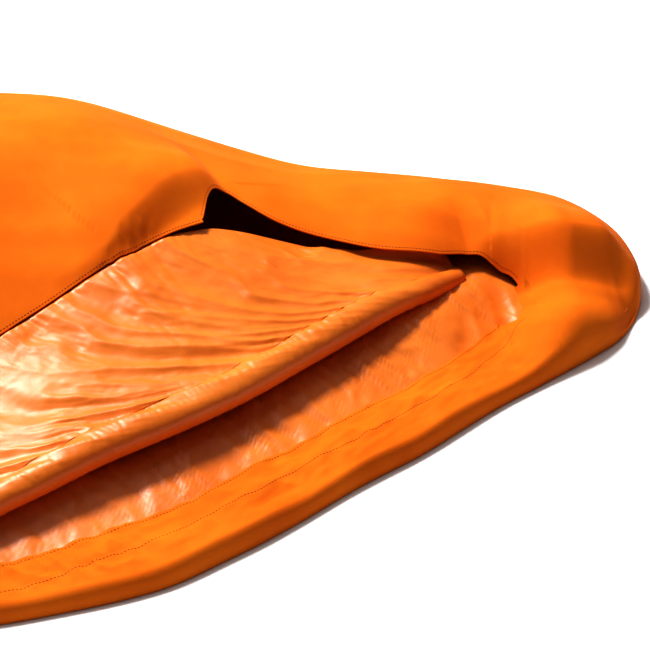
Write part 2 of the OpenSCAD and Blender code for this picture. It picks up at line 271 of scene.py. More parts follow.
def far_edge(x):
    turn = FAR_ROUND * ease((x - OPEN_FOOT_X) / 0.16)
    return smooth_max(opening_edge(x), FAR_POINT[1] + FAR_SLOPE * (x - FAR_POINT[0]), turn)


def near_boundary(x):
    """Lower edge of the big upper sheet: near seam, far edge of the opening, hood's front edge, near seam."""
    band = mix(0.003, facing(x), ease((x - OPEN_CLOSE_X) / (OPEN_FOOT_X - OPEN_CLOSE_X)))
    closed = -half_width(x) + np.where(x < OPEN_CLOSE_X, 0, band)
    front = curve(HOOD_FRONT, x)
    crown = -half_width(x) + plane_inset(x, -1)
    return np.where(
        x < OPEN_FOOT_X, closed,
        np.where(x < HOOD_SEAM_X, far_edge(x), np.where(x < BAND_SEAM_X, front, crown)),
    )


def band_edge(x):
    """Inner edge of the near band; past the opening's near corner it meets the hood."""
    band = mix(0.003, facing(x), ease((x - OPEN_CLOSE_X) / (OPEN_FOOT_X - OPEN_CLOSE_X)))
    straight = -half_width(x) + band
    corner = mix(straight, curve(HOOD_FRONT, CORNER_X), ease((x - BAND_TURN_X) / (CORNER_X - BAND_TURN_X)))
    return np.where(x < BAND_TURN_X, straight, np.where(x < CORNER_X, corner, near_boundary(x)))


# Folds of the shell, each along a short path on the plan
CRESCENT = (
    (0.340, -0.055), (0.385, -0.034), (0.410, -0.021), (0.439, 0.005), (0.461, 0.026),
    (0.483, 0.048), (0.505, 0.068), (0.533, 0.086), (0.570, 0.098),
)
HOOD_RIDGE = ((0.860, 0.012), (0.895, 0.011), (0.942, -0.006), (0.986, -0.028), (1.030, -0.030), (1.068, -0.024))


def shell_folds(x, y):
    """Height that folds, dents and puckers add to the skin."""
    inside = ease((half_width(x) - np.abs(y)) / 0.060)
    broad = 0.0045 * cloud(x / 0.34, y / 0.19, 2, 11)
    crossing = noise(x / 0.40 + 0.3 * noise(x / 0.2, y / 0.2, 5), y / 0.055 + 2.2 * x, 21)
    long_folds = 0.0016 * (1 - 2.2 * np.sqrt(crossing**2 + 0.02))
    z = inside * (broad + long_folds)
    # the cloth bulges behind the far corner of the opening and drops to its edge
    share, side = near_path(x, y, CRESCENT)
    reach = mix(0.016, 0.040, ease(share / 0.75))
    rough = 0.003 * noise(x / 0.011, y / 0.011, 31) * window(share, 0.05, 0.6, 0.2)
    drop = ease((-side + rough) / reach)
    bulge = 0.021 * ease(share / 0.5) * ease((1.02 - share) / 0.12)
    z = z + bulge * np.where(side > 0, np.exp(-((side / 0.070) ** 2)), 1 - drop)
    # the front of the hood's crown end falls from a soft ridge to the near band
    share, side = near_path(x, y, HOOD_RIDGE)
    height = 0.025 * ease(share / 0.22) * ease((1 - share) / 0.2)
    front = mix(1, -1.0, ease(-side / 0.050)) * ease((side + 0.125) / 0.060)
    z = z + height * np.where(side > 0, np.exp(-((side / 0.055) ** 2)), front)
    return z


def shell_height(x, y):
    return np.maximum(0, skin(x, y) + shell_folds(x, y) * ease(skin(x, y) / 0.030))


def organic(points):
    """Small wander of everything that is sewn, as a function of its place on the plan."""
    x, y = points[..., 0], points[..., 1]
    moved = points.copy()
    moved[..., 0] += 0.0025 * noise(x / 0.11, y / 0.11, 71)
    moved[..., 1] += 0.0035 * noise(x / 0.13, y / 0.13, 72)
    return moved


# ---------------------------------------------------------------- meshes
def mesh_object(name, verts, quads, material, smooth=None):
    """Mesh from points and quads; the first smooth quads are shaded smooth, or all of them."""
    mesh = bpy.data.meshes.new(name)
    mesh.vertices.add(len(verts))
    mesh.vertices.foreach_set("co", np.asarray(verts, np.float32).ravel())
    quads = np.asarray(quads, np.int32)
    mesh.loops.add(quads.size)
    mesh.loops.foreach_set("vertex_index", quads.ravel())
    mesh.polygons.add(len(quads))
    mesh.polygons.foreach_set("loop_start", np.arange(0, quads.size, quads.shape[1], dtype=np.int32))
    shaded = len(quads) if smooth is None else smooth
    mesh.polygons.foreach_set("use_smooth", np.arange(len(quads)) < shaded)
    mesh.update(calc_edges=True)
    mesh.validate()
    mesh.materials.append(material)
    obj = bpy.data.objects.new(name, mesh)
    bpy.context.scene.collection.objects.link(obj)
    return obj


def grid_normals(grid):
    """Unit normals of a grid of points, up for rows along +X and columns along +Y."""
    a = np.gradient(grid, axis=0)
    b = np.gradient(grid, axis=1)
    n = np.cross(a, b)
    return n / np.maximum(1e-12, np.linalg.norm(n, axis=-1, keepdims=True))


def closed_sheet(name, grid, normals, thickness, material, depth=0.0):
    """Closed mesh of a sheet whose outer face is a grid of points, sunk by depth."""
    rows, cols = grid.shape[:2]
    outer = grid - depth * normals
    inner = outer - thickness * normals
    inner[..., 2] = np.maximum(inner[..., 2], np.minimum(outer[..., 2], 0.0))
    index = np.arange(rows * cols).reshape(rows, cols)
    top = np.stack([index[:-1, :-1], index[1:, :-1], index[1:, 1:], index[:-1, 1:]], -1).reshape(-1, 4)
    under = top[:, ::-1] + rows * cols
    loop = np.concatenate([index[0, :], index[1:, -1], index[-1, -2::-1], index[-2:0:-1, 0]])
    after = np.roll(loop, -1)
    sides = np.stack([loop, after, after + rows * cols, loop + rows * cols], -1)
    verts = np.concatenate([outer.reshape(-1, 3), inner.reshape(-1, 3)])
    quads = np.concatenate([top, under, sides])
    if np.sum(grid_normals(grid) * normals) < 0:
        quads = quads[:, ::-1]
    piece = mesh_object(name, verts, quads, material, 2 * len(top))
    # the same normals on both sides of a seam keep it from showing as a crease
    facing_out = np.concatenate([normals.reshape(-1, 3), -normals.reshape(-1, 3)])
    piece.data.normals_split_custom_set_from_vertices(facing_out.tolist())
    return piece


def steps(*stops):
    """Places along a line: steps(start, (end, spacing), ...)."""
    places = [stops[0]]
    for end, spacing in stops[1:]:
        n = max(1, round(abs(end - places[-1]) / spacing))
        places += list(np.linspace(places[-1], end, n + 1)[1:])
    return np.array(places)


def crowded_end(start, end, n):
    """Places from start to end, closer and closer together."""
    return mix(start, end, np.sin(np.linspace(0, np.pi / 2, n + 1))[1:])


def on_shell(x, y):
    return organic(np.stack([x, y, shell_height(x, y)], -1))


# ---------------------------------------------------------------- materials
def new_material(name):
    material = bpy.data.materials.new(name)
    material.use_nodes = True
    nodes = material.node_tree.nodes
    return material, nodes, material.node_tree.links, nodes["Principled BSDF"]


def add(nodes, kind, **values):
    node = nodes.new(kind)
    for key, value in values.items():
        if key in node.inputs:
            node.inputs[key].default_value = value
        else:
            setattr(node, key.lower(), value)
    return node


def fabric(name, deep, light, roughness, weave, bump, crinkle=0.0, specular=0.4):
    """Woven cloth: slow colour change, worn paler spots, a fine weave and small creases."""
    material, nodes, links, shader = new_material(name)
    place = nodes.new("ShaderNodeTexCoord")
    slow = add(nodes, "ShaderNodeTexNoise", Scale=9.0, Detail=5.0, Roughness=0.6)
    ramp = nodes.new("ShaderNodeValToRGB")
    ramp.color_ramp.elements[0].position = 0.32
    ramp.color_ramp.elements[0].color = (*deep, 1)
    ramp.color_ramp.elements[1].position = 0.68
    ramp.color_ramp.elements[1].color = (*light, 1)
    links.new(place.outputs["Object"], slow.inputs["Vector"])
    links.new(slow.outputs["Fac"], ramp.inputs["Fac"])
    links.new(ramp.outputs["Color"], shader.inputs["Base Color"])
    warp = add(nodes, "ShaderNodeTexWave", Scale=weave, Distortion=0.6, Detail=1.0)
    warp.bands_direction = "X"
    weft = add(nodes, "ShaderNodeTexWave", Scale=weave, Distortion=0.6, Detail=1.0)
    weft.bands_direction = "Y"
    threads = add(nodes, "ShaderNodeMath", operation="ADD")
    links.new(place.outputs["Object"], warp.inputs["Vector"])
    links.new(place.outputs["Object"], weft.inputs["Vector"])
    links.new(warp.outputs["Fac"], threads.inputs[0])
    links.new(weft.outputs["Fac"], threads.inputs[1])
    fine = add(nodes, "ShaderNodeBump", Strength=bump, Distance=0.00025)
    links.new(threads.outputs[0], fine.inputs["Height"])
    creases = add(nodes, "ShaderNodeTexNoise", Scale=70.0, Detail=4.0, Roughness=0.55)
    links.new(place.outputs["Object"], creases.inputs["Vector"])
    wide = add(nodes, "ShaderNodeBump", Strength=crinkle, Distance=0.0012)
    links.new(creases.outputs["Fac"], wide.inputs["Height"])
    links.new(fine.outputs["Normal"], wide.inputs["Normal"])
    links.new(wide.outputs["Normal"], shader.inputs["Normal"])
    grain = add(nodes, "ShaderNodeMapRange")
    grain.inputs["To Min"].default_value = roughness - 0.06
    grain.inputs["To Max"].default_value = roughness + 0.06
    links.new(slow.outputs["Fac"], grain.inputs["Value"])
    links.new(grain.outputs["Result"], shader.inputs["Roughness"])
    shader.inputs["Specular IOR Level"].default_value = specular
    return material


SHELL = fabric("shell_fabric", (0.76, 0.160, 0.008), (0.86, 0.215, 0.014), 0.78, 420.0, 0.25, 0.22, 0.08)
LINING = fabric("lining_fabric", (0.76, 0.185, 0.014), (0.88, 0.255, 0.030), 0.40, 520.0, 0.10, 0.16, 0.60)
THREAD = fabric("thread", (0.30, 0.045, 0.004), (0.42, 0.065, 0.006), 0.6, 900.0, 0.2)
TAPE = fabric("seam_tape", (0.70, 0.16, 0.02), (0.80, 0.20, 0.03), 0.35, 600.0, 0.1)


# ---------------------------------------------------------------- upper sheet: top shell, hood and crown band
def upper_rows():
    return np.concatenate([
        steps(FOOT_X + 0.002, (FOOT_X + 0.012, 0.0025), (FOOT_X + 0.09, 0.006), (-0.36, 0.016), (0.12, 0.006),
              (0.50, 0.0042), (HOOD_SEAM_X, 0.0024), (0.625, 0.0022), (0.86, 0.004), (CORNER_X, 0.0016),
              (BAND_SEAM_X, 0.0007)),
        crowded_end(BAND_SEAM_X, CROWN_X - CROWN_GAP, 60),
    ])


SIDE_COLS = 26
MAIN_COLS = 120


def upper_grid():
    xs = upper_rows()
    low, high = near_boundary(xs), half_width(xs)
    inset = np.where(xs < 0.5, 0.055, 0.0)
    inset = mix(inset, plane_inset(xs, 1), ease((xs - 0.35) / 0.15))
    inset = np.minimum(inset, (high - low) * 0.45)
    seam = high - inset
    t = np.linspace(0, 1, MAIN_COLS + 1)[None, :]
    on_ground = ease((OPEN_FOOT_X - xs) / 0.08)[:, None]
    crowded = 1 - np.cos(t * np.pi / 2)
    spread = mix(t, mix(crowded, t, t), on_ground)
    main = mix(low[:, None], seam[:, None], spread)
    side = high[:, None] - inset[:, None] * (1 - np.linspace(0, 1, SIDE_COLS + 1)[None, 1:]) ** 2
    y = np.concatenate([main, side], 1)
    x = np.repeat(xs[:, None], y.shape[1], 1)
    return xs, on_shell(x, y)


UPPER_X, UPPER = upper_grid()
UPPER_N = grid_normals(UPPER)
SEAM_ROW = int(np.argmin(np.abs(UPPER_X - HOOD_SEAM_X)))


def make_upper():
    pieces = {
        "top_shell_cloth": (slice(None, SEAM_ROW + 1), slice(None), "bag"),
        "hood_cloth": (slice(SEAM_ROW, None), slice(None, MAIN_COLS + 1), "hood"),
        "crown_band_far_cloth": (slice(SEAM_ROW, None), slice(MAIN_COLS, None), "bag"),
    }
    made = {}
    for name, (rows, cols, body) in pieces.items():
        made[name] = closed_sheet(name, UPPER[rows, cols], UPPER_N[rows, cols], SHELL_CLOTH, SHELL)
        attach(made[name], body)
    linings = {
        "top_lining_cloth": (slice(2, SEAM_ROW + 1, 2), slice(2, -2, 2), "bag"),
        "hood_lining_cloth": (slice(SEAM_ROW + 2, -6, 2), slice(2, MAIN_COLS - 2, 2), "hood"),
    }
    for name, (rows, cols, body) in linings.items():
        grid, normals = UPPER[rows, cols], UPPER_N[rows, cols]
        made[name] = closed_sheet(name, grid, normals, LINING_CLOTH, LINING, LINING_DEPTH)
        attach(made[name], body)
    return made


# ---------------------------------------------------------------- near band
RIM_COLS = 16
FLAT_COLS = 60


def band_folds(x, d):
    """Soft dents and tucks of the near band, over x and the distance from the ground edge."""
    flat = ease((d - RIM_FOLD) / 0.02)
    dents = 0.0030 * cloud(x / 0.080, d / 0.045, 3, 41) * flat
    edge = 0.0045 * noise(x / 0.10, 0.3, 43) * ease(d / RIM_FOLD)
    tucks = 0.004 * ridges(x / 0.030 + d / 0.06, d / 0.05, 45) * flat * (0.4 + 0.6 * ease((0.42 - x) / 0.1))
    return dents + edge + tucks * window(x, OPEN_FOOT_X, 1.0, 0.1)


def band_grid():
    xs = np.concatenate([
        steps(OPEN_CLOSE_X, (OPEN_FOOT_X, 0.008), (0.12, 0.010), (0.86, 0.0032), (CORNER_X, 0.0016),
              (BAND_SEAM_X, 0.0007)),
        crowded_end(BAND_SEAM_X, CROWN_X - CROWN_GAP, 60),
    ])
    width = band_edge(xs) + half_width(xs)
    fold = np.minimum(RIM_FOLD, width * 0.5)[:, None]
    turn = 1 - np.cos(np.linspace(0, np.pi / 2, RIM_COLS + 1))[None, :]
    flat = mix(fold, width[:, None], np.linspace(0, 1, FLAT_COLS + 1)[None, 1:])
    d = np.concatenate([fold * turn, flat], 1)
    x = np.repeat(xs[:, None], d.shape[1], 1)
    y = -half_width(x) + d
    points = on_shell(x, y)
    ends = ease((CORNER_X - x) / 0.05) * ease((x - OPEN_FOOT_X) / 0.05)
    points[..., 2] += np.minimum(1, points[..., 2] / 0.02) * band_folds(x, d) * ends
    points[..., 2] = np.maximum(points[..., 2], 0)
    return xs, width, d, points


BAND_X, BAND_WIDTH, BAND_D, BAND = band_grid()
BAND_N = grid_normals(BAND)


def make_band():
    seam = int(np.argmin(np.abs(BAND_X - BAND_SEAM_X)))
    spans = {"near_band_cloth": slice(None, seam + 1), "crown_band_near_cloth": slice(seam, None)}
    made = {}
    for name, rows in spans.items():
        made[name] = closed_sheet(name, BAND[rows], BAND_N[rows], SHELL_CLOTH, SHELL)
        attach(made[name], "bag")
    return made


def band_point(x, from_edge):
    """Points and normals on the band, at a distance from its inner edge."""
    x = np.asarray(x, float)
    i = np.clip(np.searchsorted(BAND_X, x) - 1, 0, len(BAND_X) - 2)
    t = ((x - BAND_X[i]) / (BAND_X[i + 1] - BAND_X[i]))[:, None]
    points, normals = [], []
    for k, row in enumerate(i):
        pair = []
        for r in (row, row + 1):
            d = BAND_WIDTH[r] - from_edge[k]
            j = int(np.clip(np.searchsorted(BAND_D[r], d) - 1, 0, BAND_D.shape[1] - 2))
            s = (d - BAND_D[r, j]) / (BAND_D[r, j + 1] - BAND_D[r, j])
            pair.append((mix(BAND[r, j], BAND[r, j + 1], s), mix(BAND_N[r, j], BAND_N[r, j + 1], s)))
        points.append(mix(pair[0][0], pair[1][0], t[k]))
        normals.append(mix(pair[0][1], pair[1][1], t[k]))
    return np.array(points), np.array(normals)


# ---------------------------------------------------------------- hems and stitches
def hem(name, surface, width, body):
    """Cloth turned under along an edge: over the lip and back below the sheet.

    surface gives points and normals at a distance in from the edge.
    """
    edge, up = surface(0.0)
    inward = surface(0.002)[0] - edge
    inward /= np.linalg.norm(inward, axis=-1, keepdims=True)
    columns = [surface(0.003)[0] - 0.0003 * surface(0.003)[1]]
    for turn in np.linspace(0, math.pi, 9):
        columns.append(edge - LIP_RADIUS * (math.sin(turn) * inward + (1 - math.cos(turn)) * up))
    for s in np.linspace(0.002, width, 8):
        points, normals = surface(s)
        columns.append(points - 2 * LIP_RADIUS * normals)
    grid = np.stack(columns, 1)
    normals = grid_normals(grid)
    if np.sum(normals[:, 0] * up) < 0:
        normals = -normals
    piece = closed_sheet(name, grid, normals, SHELL_CLOTH * 0.6, SHELL)
    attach(piece, body)
    return piece


def frame_along(path):
    t = np.gradient(path, axis=0)
    return t / np.linalg.norm(t, axis=-1, keepdims=True)


def stitches(name, path, normals, body, pitch=0.0042, length=0.0028, radius=0.00042):
    """A row of separate thread stitches, each a small arched bead that dips into the cloth at its ends."""
    arc = np.concatenate([[0], np.cumsum(np.linalg.norm(np.diff(path, axis=0), axis=1))])
    places = np.arange(pitch, arc[-1] - pitch, pitch)
    centre = np.stack([np.interp(places, arc, path[:, k]) for k in range(3)], -1)
    up = np.stack([np.interp(places, arc, normals[:, k]) for k in range(3)], -1)
    up /= np.linalg.norm(up, axis=-1, keepdims=True)
    ahead = np.stack([np.interp(places, arc, frame_along(path)[:, k]) for k in range(3)], -1)
    ahead /= np.linalg.norm(ahead, axis=-1, keepdims=True)
    across = np.cross(up, ahead)
    sides = 6
    rings = [
        (-0.5, 0.25, -0.9), (-0.38, 0.8, 0.0), (-0.12, 1.0, 0.5),
        (0.12, 1.0, 0.5), (0.38, 0.8, 0.0), (0.5, 0.25, -0.9),
    ]
    verts, quads = [], []
    for s, r, lift in rings:
        for k in range(sides):
            t = 2 * math.pi * k / sides
            verts.append(
                centre + ahead * s * length + across * (radius * r * math.cos(t))
                + up * (radius * (r * math.sin(t) + lift))
            )
    verts = np.stack(verts, 1)
    per = verts.shape[1]
    for ring in range(len(rings) - 1):
        for k in range(sides):
            m = (k + 1) % sides
            quads.append([ring * sides + k, ring * sides + m, (ring + 1) * sides + m, (ring + 1) * sides + k])
    last = (len(rings) - 1) * sides
    for base, turn in ((0, -1), (last, 1)):
        quads.append([base + k for k in (0, 1, 2, 3)][::turn])
        quads.append([base + k for k in (0, 3, 4, 5)][::turn])
    quads = (np.array(quads)[None] + (np.arange(len(centre)) * per)[:, None, None]).reshape(-1, 4)
    piece = mesh_object(name, verts.reshape(-1, 3), quads, THREAD)
    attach(piece, body)
    return piece


def shell_frame(x, y):
    """Points on the shell with normals from its slope."""
    step = 0.002
    p = on_shell(x, y)
    n = np.cross(on_shell(x + step, y) - on_shell(x - step, y), on_shell(x, y + step) - on_shell(x, y - step))
    return p, n / np.linalg.norm(n, axis=-1, keepdims=True)


def plan_inward(x, y, sign):
    """Unit vectors square to a plan curve, and to its left for sign 1."""
    tx, ty = np.gradient(x), np.gradient(y)
    n = np.hypot(tx, ty)
    return -sign * ty / n, sign * tx / n


def shell_strip(x, y):
    """Surface of the shell at a distance in from an edge given on the plan."""
    ix, iy = plan_inward(x, y, 1)

    def surface(s):
        return shell_frame(x + s * ix, y + s * iy)
    return surface


def band_strip(xs):
    def surface(s):
        return band_point(xs, np.full_like(xs, s))
    return surface


def make_hems():
    edges = {
        "far": ("bag", steps(OPEN_FOOT_X + 0.004, (0.10, 0.008), (HOOD_SEAM_X - 1e-4, 0.003))),
        "hood": ("hood", steps(HOOD_SEAM_X + 1e-4, (0.63, 0.002), (0.86, 0.004), (CORNER_X, 0.0015))),
    }
    for name, (body, x) in edges.items():
        surface = shell_strip(x, near_boundary(x))
        hem(name + "_hem_cloth", surface, HEM_WIDTH, body)
        row, row_n = surface(EDGE_STITCH)
        stitches(name + "_hem_stitches", row, row_n, body)
    xs = steps(OPEN_FOOT_X + 0.004, (0.10, 0.008), (0.912, 0.003))
    surface = band_strip(xs)
    hem("near_hem_cloth", surface, OUTER_ROW + 0.003, "bag")
    inner, inner_n = surface(INNER_STITCH)
    stitches("inner_hem_stitches", inner[2:-12], inner_n[2:-12], "bag")
    wander = 0.0035 * noise(xs / 0.045, 0.5, 61) + 0.002 * noise(xs / 0.018, 0.5, 62)
    outer, outer_n = band_point(xs, OUTER_ROW + wander + 0.014 * ease((xs - 0.86) / 0.06))
    stitches("outer_hem_stitches", outer[2:], outer_n[2:], "bag")


# ---------------------------------------------------------------- draught flap
ALONG = np.array([1, FAR_SLOPE]) / math.hypot(1, FAR_SLOPE)
ACROSS = np.array([ALONG[1], -ALONG[0]])
FLAP_REACH = (
    (-0.400, 0.030), (-0.340, 0.062), (-0.200, 0.150), (-0.100, 0.168), (0, 0.175), (0.150, 0.192),
    (0.330, 0.187), (0.510, 0.174), (0.620, 0.165),
)
FLAP_HEIGHT = (
    (-0.400, 0.046), (-0.200, 0.064), (0, 0.088), (0.300, 0.090), (0.420, 0.084),
    (0.500, 0.066), (0.560, 0.052), (0.620, 0.044),
)
FLAP_FOOT, FLAP_HEAD = -0.338, 0.556
ROLL_RADIUS = 0.0195


def flap_plan(a, p):
    return FAR_POINT[0] + a * ALONG[0] + p * ACROSS[0], FAR_POINT[1] + a * ALONG[1] + p * ACROSS[1]


def hermite(p0, p1, m0, m1, t):
    return (
        (2 * t**3 - 3 * t**2 + 1) * p0 + (t**3 - 2 * t**2 + t) * m0
        + (3 * t**2 - 2 * t**3) * p1 + (t**3 - t**2) * m1
    )


TOP_COLS, ROLL_COLS, UNDER_COLS = 100, 60, 41


def flap_profile(a):
    """Closed cross-section of the flap at a place along the far edge, as points (across, height)."""
    radius = ROLL_RADIUS * mix(0.6, 1, ease((a + 0.34) / 0.35)) * mix(1, 0.62, ease((a - 0.3) / 0.3))
    reach, top = curve(FLAP_REACH, a), curve(FLAP_HEIGHT, a)
    x, y = flap_plan(a, 0.0)
    root_p = -0.003
    start_p = root_p if a < 0.29 else mix(root_p, 0.12, float(ease((a - 0.29) / 0.25)))
    sx, sy = flap_plan(a, start_p)
    root_z = float(shell_height(sx, sy)) - mix(0.0036, 0.016, float(ease((a - 0.22) / 0.12)))
    centre = np.array([reach, top - radius])
    join = math.radians(128)
    joint = centre + radius * np.array([math.cos(join), math.sin(join)])
    span = joint[0] - start_p
    root = np.array([start_p, root_z])
    t = np.linspace(0, 1, TOP_COLS)[:, None]
    fall = (root[1] - joint[1]) / span
    leave, arrive = np.array([0.8, -0.8 * fall]) * span, np.array([0.35, 0.06 - 0.2 * fall]) * span
    upper = hermite(root, joint, leave, arrive, t)
    turn = np.linspace(join, math.radians(-118), ROLL_COLS + 1)[1:]
    roll = centre + radius * np.stack([np.cos(turn), np.sin(turn)], -1)
    back = roll[-1]
    under_root = root + np.array([0.0, -0.007])
    t = np.linspace(0, 1, UNDER_COLS)[1:, None]
    leave, arrive = np.array([-0.8 * span, 0.25 * span]), np.array([-0.8 * span, 0.22 * span])
    under = hermite(back, under_root, leave, arrive, t)
    return np.concatenate([upper, roll, under])


def crumple(x, y, seed):
    """Flat facets with sharp creases between them, from about -1 to 1."""
    total = 0
    for k, (size, share) in enumerate(((1.0, 0.55), (0.47, 0.3), (0.21, 0.15))):
        turn = 0.9 * k + 0.4
        u, v = x * math.cos(turn) + y * math.sin(turn), y * math.cos(turn) - x * math.sin(turn)
        bend = 0.35 * noise(u / size * 0.7, v / size * 0.7, seed + 20 + k)
        total = total + share * ridges(u / size + bend, v / size - bend, seed + k)
    return total


def flap_crinkles(a, p):
    """Height of the flap's creases: folds leave the seam nearly square and bend along the roll."""
    wave = 0.5 * noise(a / 0.10, p / 0.08, 81) + 0.25 * noise(a / 0.035, p / 0.03, 88)
    flow = a - 0.3 * p - 3.0 * p**2 - 60.0 * p**4 + 0.016 * wave
    length = p + 0.25 * a
    big = 0.0034 * ridges(length / 0.17 + 0.4 * wave, flow / 0.055, 82)
    middle = 0.0011 * ridges(length / 0.105 + wave, flow / 0.024 + 0.3 * wave, 83)
    fine = 0.00045 * ridges(length / 0.030 + wave, flow / 0.0105, 84)
    hair = 0.00020 * ridges(length / 0.016, flow / 0.0052, 89)
    patch = 0.55 + 0.9 * noise(a / 0.07, p / 0.05, 85)
    facets = 0.0010 * crumple(a / 0.13, p / 0.085, 101)
    return big + facets + (middle + fine + hair) * np.clip(patch, 0, 1.3)


def seam_pleats(a, p):
    """Short fine pleats where the lining is gathered into the far hem."""
    reach = 0.030 * (1 + 0.6 * noise(a / 0.02, 0.5, 97))
    return 0.0011 * ridges(a / 0.0085 - p / 0.03, 0.4 + p / 0.05, 98) * ease((reach - p) / reach)


def make_flap():
    rows = steps(FLAP_FOOT, (-0.20, 0.006), (0.42, 0.0024), (FLAP_HEAD, 0.005))
    section = np.stack([flap_profile(a) for a in rows])
    count = section.shape[1]
    a = np.repeat(rows[:, None], count, 1)
    p, z = section[..., 0], section[..., 1]
    x, y = flap_plan(a, p)
    grid = np.stack([x, y, z], -1)
    da = np.gradient(grid, rows, axis=0)
    ds = np.roll(grid, -1, 1) - np.roll(grid, 1, 1)
    normal = np.cross(da, ds)
    normal /= np.maximum(1e-9, np.linalg.norm(normal, axis=-1, keepdims=True))
    if normal[len(rows) // 2, TOP_COLS // 2, 2] < 0:
        normal = -normal
    share = np.arange(count) / TOP_COLS
    on_top = ease(share / 0.03) * ease((1.25 - share) / 0.35)
    crinkles = (flap_crinkles(a, p) + seam_pleats(a, p)) * on_top[None, :]
    round_it = share[None, :]
    gathers = 0.0006 * ridges(a / 0.0068 + 0.6 * noise(a / 0.03, round_it * 6, 87), round_it * 3, 86)
    gathers = gathers * (ease((share - 0.75) / 0.3) * ease((1.6 - share) / 0.3))[None, :]
    ends = ease((a - FLAP_FOOT) / 0.02) * ease((FLAP_HEAD - a) / 0.02)
    grid = organic(grid + normal * ((crinkles + gathers) * ends)[..., None])
    index = np.arange(len(rows) * count).reshape(len(rows), count)
    after = np.roll(index, -1, 1)
    quads = np.stack([index[:-1], index[1:], after[1:], after[:-1]], -1).reshape(-1, 4)
    verts = grid.reshape(-1, 3)
    caps = []
    half = count // 2
    for row, flip in ((0, 1), (len(rows) - 1, -1)):
        for k in range(half - 1):
            quad = [index[row, k], index[row, k + 1], index[row, count - 2 - k], index[row, count - 1 - k]]
            caps.append(quad[::flip])
    quads = np.concatenate([quads, np.array(caps)])
    piece = mesh_object("draught_flap", verts, quads, LINING)
    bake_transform(piece)
    return piece


# ---------------------------------------------------------------- base and lower lining
def make_base():
    body = steps(FOOT_X + 0.004, (FOOT_X + 0.11, 0.008), (0.9, 0.02))
    xs = np.concatenate([body, crowded_end(0.9, CROWN_X - 0.004, 24)])
    t = np.linspace(-1, 1, 61)[None, :]
    half = np.maximum(0.0005, half_width(xs) - 0.003)[:, None]
    x = np.repeat(xs[:, None], t.shape[1], 1)
    grid = organic(np.stack([x, half * t, np.full_like(x, BASE_CLOTH)], -1))
    up = np.zeros_like(grid)
    up[..., 2] = 1
    piece = closed_sheet("base_cloth", grid, up, BASE_CLOTH, SHELL)
    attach(piece, "bag")
    return piece


def lining_crinkles(x, y):
    turn = math.radians(-60)
    u = x * math.cos(turn) + y * math.sin(turn)
    v = -x * math.sin(turn) + y * math.cos(turn)
    wave = 0.5 * noise(x / 0.08, y / 0.08, 91) + 0.2 * noise(x / 0.03, y / 0.03, 96)
    big = 0.0017 * ridges(u / 0.12 + wave, v / 0.040 + wave, 92)
    middle = 0.0013 * ridges(u / 0.060 + wave, v / 0.015 + wave, 93)
    fine = 0.0007 * ridges(u / 0.026 + wave, v / 0.0065 + wave, 94)
    patch = 0.6 + 0.6 * noise(x / 0.06, y / 0.06, 95)
    return big + (middle + fine) * np.clip(patch, 0.1, 1.3) + 0.0009 * crumple(x / 0.10, y / 0.08, 111)


def make_lower_lining():
    xs = steps(FOOT_X + 0.03, (0.10, 0.02), (0.97, 0.0030), (1.03, 0.01))
    low = -half_width(xs) + mix(0.034, facing(xs) - 0.010, opened(xs))
    high = half_width(xs) - 0.034
    near = np.minimum(0.30, (high - low) * 0.8)
    t = np.linspace(0, 1, 111)[None, :]
    y = np.concatenate([
        low[:, None] + near[:, None] * t,
        mix((low + near)[:, None], high[:, None], np.linspace(0, 1, 16)[None, 1:]),
    ], 1)
    x = np.repeat(xs[:, None], y.shape[1], 1)
    from_edge = y - low[:, None]
    under_flap = (FAR_POINT[1] - y + FAR_SLOPE * (x - FAR_POINT[0])) / math.hypot(1, FAR_SLOPE)
    climb = 0.033 * ease((under_flap - 0.085) / 0.075)
    highest = mix(0.034, 0.022, ease((xs - 0.76) / 0.12))
    at_edge = np.minimum(shell_height(xs, low + 0.010), highest)[:, None] - 0.0175
    climb = opened(x) * mix(at_edge, climb, ease(from_edge / 0.110))
    z = 0.009 + climb + lining_crinkles(x, y) * ease(from_edge / 0.03) * ease((high[:, None] - y) / 0.05)
    grid = organic(np.stack([x, y, np.maximum(z, 0.004)], -1))
    piece = closed_sheet("lower_lining_cloth", grid, grid_normals(grid), LINING_CLOTH, LINING)
    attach(piece, "bag")
    return piece


def make_tape():
    n = 400
    s = np.linspace(0, 1, n)
    xs = mix(FOOT_X + 0.010, CROWN_X - 0.010, (1 - np.cos(np.pi * s)) / 2)
    rows = []
    for inset in np.linspace(0.008, 0.030, 4):
        x = mix(FOOT_X + inset, CROWN_X - inset, (1 - np.cos(np.pi * s)) / 2)
        half = np.maximum(0.001, half_width(xs) - inset)
        near = np.stack([x, -half], -1)
        far = np.stack([x, half], -1)[::-1]
        loop = np.concatenate([near, far, near[:1]])
        rows.append(np.concatenate([loop, np.full((len(loop), 1), TAPE_HEIGHT)], 1))
    grid = organic(np.stack(rows, 1))
    up = np.zeros_like(grid)
    up[..., 2] = 1
    piece = closed_sheet("seam_tape_strip", grid[:-1], up[:-1], TAPE_CLOTH, TAPE)
    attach(piece, "bag")
    return piece


